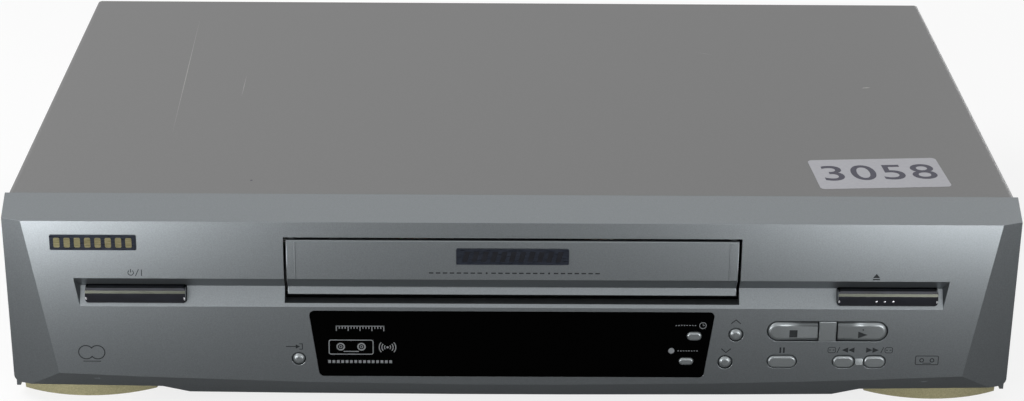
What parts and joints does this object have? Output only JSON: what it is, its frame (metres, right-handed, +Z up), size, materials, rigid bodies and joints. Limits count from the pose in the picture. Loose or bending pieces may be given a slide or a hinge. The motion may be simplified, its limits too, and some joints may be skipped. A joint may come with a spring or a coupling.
{
  "type": "vhs video cassette recorder",
  "caption": "Front-loading video cassette recorder with a swinging cassette door, front keys, display window, cassette carriage, drum and tape deck.",
  "frame": {"origin": "on the ground under the middle of the recorder", "axes": "+X to the right seen from the front, +Y to the rear, +Z up"},
  "size_m": [0.43, 0.2968, 0.088],
  "materials": {
    "cover_enamel": "satin enamelled sheet steel",
    "front_lacquer": "metallic lacquer on moulded ABS",
    "window_acrylic": "smoked black acrylic",
    "smoked_chrome": "dark smoked plating on ABS",
    "key_lacquer": "metallic lacquer on moulded ABS",
    "badge_gold": "gold-edged anodised plate",
    "badge_dark": "dark pressed plate",
    "foot_gold": "champagne lacquer on moulded ABS",
    "foot_rubber": "moulded rubber",
    "zinc_steel": "zinc-plated sheet steel",
    "screw_steel": "plated screws",
    "board_laminate": "printed circuit laminate",
    "black_plastic": "moulded black plastic",
    "nylon": "moulded white nylon",
    "drum_aluminium": "turned aluminium",
    "bright_steel": "ground steel",
    "bearing_brass": "sintered bearing",
    "belt_rubber": "ground rubber",
    "tube_glass": "display tube glass",
    "iron_core": "varnished laminations",
    "capacitor_sleeve": "sleeved cans",
    "tin_plate": "tin-plated screening can"
  },
  "bodies": {
    "casing": {"top_cover": "cover_enamel", "front_panel": "front_lacquer", "bottom_pan": "zinc_steel", "rear_panel": "cover_enamel", "front_feet": "foot_gold", "rear_feet": "foot_rubber", "cover_screws": "screw_steel", "door_spring": "bright_steel", "display_window": "window_acrylic", "transport_bridge": "front_lacquer", "search_saddle": "front_lacquer", "name_badge": "badge_gold", "front_board": "board_laminate", "tact_switches": "black_plastic", "display_tube": "tube_glass", "scart_socket_1": "black_plastic", "scart_socket_2": "black_plastic", "audio_jacks": "bright_steel", "tuner_module": "tin_plate", "mains_inlet": "black_plastic", "main_board": "board_laminate", "power_board": "board_laminate", "power_transformer": "iron_core", "filter_capacitors": "capacitor_sleeve", "heat_sink": "drum_aluminium", "deck_chassis": "zinc_steel", "lower_drum": "drum_aluminium", "capstan_bearing": "bearing_brass", "drive_belt": "belt_rubber", "tape_heads": "bright_steel", "loading_motor": "tin_plate", "carriage_brackets": "zinc_steel"},
    "power_button": {"power_button": "smoked_chrome"},
    "eject_button": {"eject_button": "smoked_chrome"},
    "ext_link_button": {"ext_link_button": "key_lacquer"},
    "channel_up_button": {"channel_up_button": "key_lacquer"},
    "channel_down_button": {"channel_down_button": "key_lacquer"},
    "timer_button": {"timer_button": "key_lacquer"},
    "record_button": {"record_button": "key_lacquer"},
    "stop_button": {"stop_button": "key_lacquer"},
    "play_button": {"play_button": "key_lacquer"},
    "pause_button": {"pause_button": "key_lacquer"},
    "rewind_button": {"rewind_button": "key_lacquer"},
    "fast_forward_button": {"fast_forward_button": "key_lacquer"},
    "door": {"cassette_door": "front_lacquer", "door_badge": "badge_dark"},
    "sliders": {"carriage_sliders": "nylon"},
    "carriage": {"cassette_carriage": "zinc_steel"},
    "drum": {"upper_drum": "drum_aluminium"},
    "capstan": {"capstan_rotor": "bright_steel"},
    "clutch": {"clutch_pulley": "nylon"},
    "left_reel": {"supply_reel": "nylon"},
    "right_reel": {"take_up_reel": "nylon"},
    "cam": {"cam_gear": "nylon"},
    "left_guide": {"supply_guide": "black_plastic"},
    "right_guide": {"take_up_guide": "black_plastic"},
    "roller_arm": {"pinch_arm": "zinc_steel"},
    "roller": {"pinch_roller": "belt_rubber"},
    "tension": {"tension_arm": "zinc_steel"}
  },
  "joints": [
    {"name": "power_press", "type": "slide", "parent": "casing", "child": "power_button", "axis": [0, 1, 0], "range_m": [0, 0.0008], "stiffness_N_per_m": 300, "springref_m": -0.001},
    {"name": "eject_press", "type": "slide", "parent": "casing", "child": "eject_button", "axis": [0, 1, 0], "range_m": [0, 0.0008], "stiffness_N_per_m": 300, "springref_m": -0.001},
    {"name": "ext_link_press", "type": "slide", "parent": "casing", "child": "ext_link_button", "axis": [0, 1, 0], "range_m": [0, 0.0008], "stiffness_N_per_m": 300, "springref_m": -0.001},
    {"name": "channel_up_press", "type": "slide", "parent": "casing", "child": "channel_up_button", "axis": [0, 1, 0], "range_m": [0, 0.0008], "stiffness_N_per_m": 300, "springref_m": -0.001},
    {"name": "channel_down_press", "type": "slide", "parent": "casing", "child": "channel_down_button", "axis": [0, 1, 0], "range_m": [0, 0.0008], "stiffness_N_per_m": 300, "springref_m": -0.001},
    {"name": "timer_press", "type": "slide", "parent": "casing", "child": "timer_button", "axis": [0, 1, 0], "range_m": [0, 0.0008], "stiffness_N_per_m": 300, "springref_m": -0.001},
    {"name": "record_press", "type": "slide", "parent": "casing", "child": "record_button", "axis": [0, 1, 0], "range_m": [0, 0.0008], "stiffness_N_per_m": 300, "springref_m": -0.001},
    {"name": "stop_press", "type": "slide", "parent": "casing", "child": "stop_button", "axis": [0, 1, 0], "range_m": [0, 0.0008], "stiffness_N_per_m": 300, "springref_m": -0.001},
    {"name": "play_press", "type": "slide", "parent": "casing", "child": "play_button", "axis": [0, 1, 0], "range_m": [0, 0.0008], "stiffness_N_per_m": 300, "springref_m": -0.001},
    {"name": "pause_press", "type": "slide", "parent": "casing", "child": "pause_button", "axis": [0, 1, 0], "range_m": [0, 0.0008], "stiffness_N_per_m": 300, "springref_m": -0.001},
    {"name": "rewind_press", "type": "slide", "parent": "casing", "child": "rewind_button", "axis": [0, 1, 0], "range_m": [0, 0.0008], "stiffness_N_per_m": 300, "springref_m": -0.001},
    {"name": "fast_forward_press", "type": "slide", "parent": "casing", "child": "fast_forward_button", "axis": [0, 1, 0], "range_m": [0, 0.0008], "stiffness_N_per_m": 300, "springref_m": -0.001},
    {"name": "door_swing", "type": "hinge", "parent": "casing", "child": "door", "pos_m": [0, -0.1434, 0.0795], "axis": [1, 0, 0], "range_deg": [0, 84], "stiffness_Nm_per_rad": 0.01, "springref_deg": -28.65},
    {"name": "carriage_in", "type": "slide", "parent": "casing", "child": "sliders", "axis": [0, 1, 0], "range_m": [0, 0.034]},
    {"name": "carriage_drop", "type": "slide", "parent": "sliders", "child": "carriage", "axis": [0, 0, -1], "range_m": [0, 0.02]},
    {"name": "drum_spin", "type": "hinge", "parent": "casing", "child": "drum", "pos_m": [-0.004, 0.0584, 0.031], "axis": [0, 0.1011, 0.9949], "continuous": true},
    {"name": "capstan_spin", "type": "hinge", "parent": "casing", "child": "capstan", "pos_m": [0.062, 0.0424, 0.026], "axis": [0, 0, 1], "continuous": true},
    {"name": "clutch_spin", "type": "hinge", "parent": "casing", "child": "clutch", "pos_m": [0, -0.0556, 0.026], "axis": [0, 0, 1], "continuous": true},
    {"name": "supply_reel_spin", "type": "hinge", "parent": "casing", "child": "left_reel", "pos_m": [-0.046, -0.0336, 0.026], "axis": [0, 0, 1], "continuous": true},
    {"name": "take_up_reel_spin", "type": "hinge", "parent": "casing", "child": "right_reel", "pos_m": [0.046, -0.0336, 0.026], "axis": [0, 0, 1], "continuous": true},
    {"name": "cam_turn", "type": "hinge", "parent": "casing", "child": "cam", "pos_m": [0.072, 0.0844, 0.026], "axis": [0, 0, 1], "range_deg": [0, 160]},
    {"name": "supply_guide_slide", "type": "slide", "parent": "casing", "child": "left_guide", "axis": [-0.3162, 0.9487, 0], "range_m": [0, 0.04111]},
    {"name": "take_up_guide_slide", "type": "slide", "parent": "casing", "child": "right_guide", "axis": [0.3162, 0.9487, 0], "range_m": [0, 0.04111]},
    {"name": "roller_arm_swing", "type": "hinge", "parent": "casing", "child": "roller_arm", "pos_m": [0.084, 0.0284, 0.026], "axis": [0, 0, 1], "range_deg": [0, 25]},
    {"name": "roller_spin", "type": "hinge", "parent": "roller_arm", "child": "roller", "pos_m": [0.07856, 0.05223, 0.026], "axis": [0, 0, 1], "continuous": true},
    {"name": "tension_swing", "type": "hinge", "parent": "casing", "child": "tension", "pos_m": [-0.07, 0.0284, 0.026], "axis": [0, 0, -1], "range_deg": [0, 22], "stiffness_Nm_per_rad": 0.005, "springref_deg": -17.19}
  ],
  "couplings": [
    {"joint": "clutch_spin", "follows": "capstan_spin", "ratio": 0.75},
    {"joint": "supply_guide_slide", "follows": "cam_turn", "m_per_rad": 0.014721},
    {"joint": "take_up_guide_slide", "follows": "cam_turn", "m_per_rad": 0.014721}
  ]
}
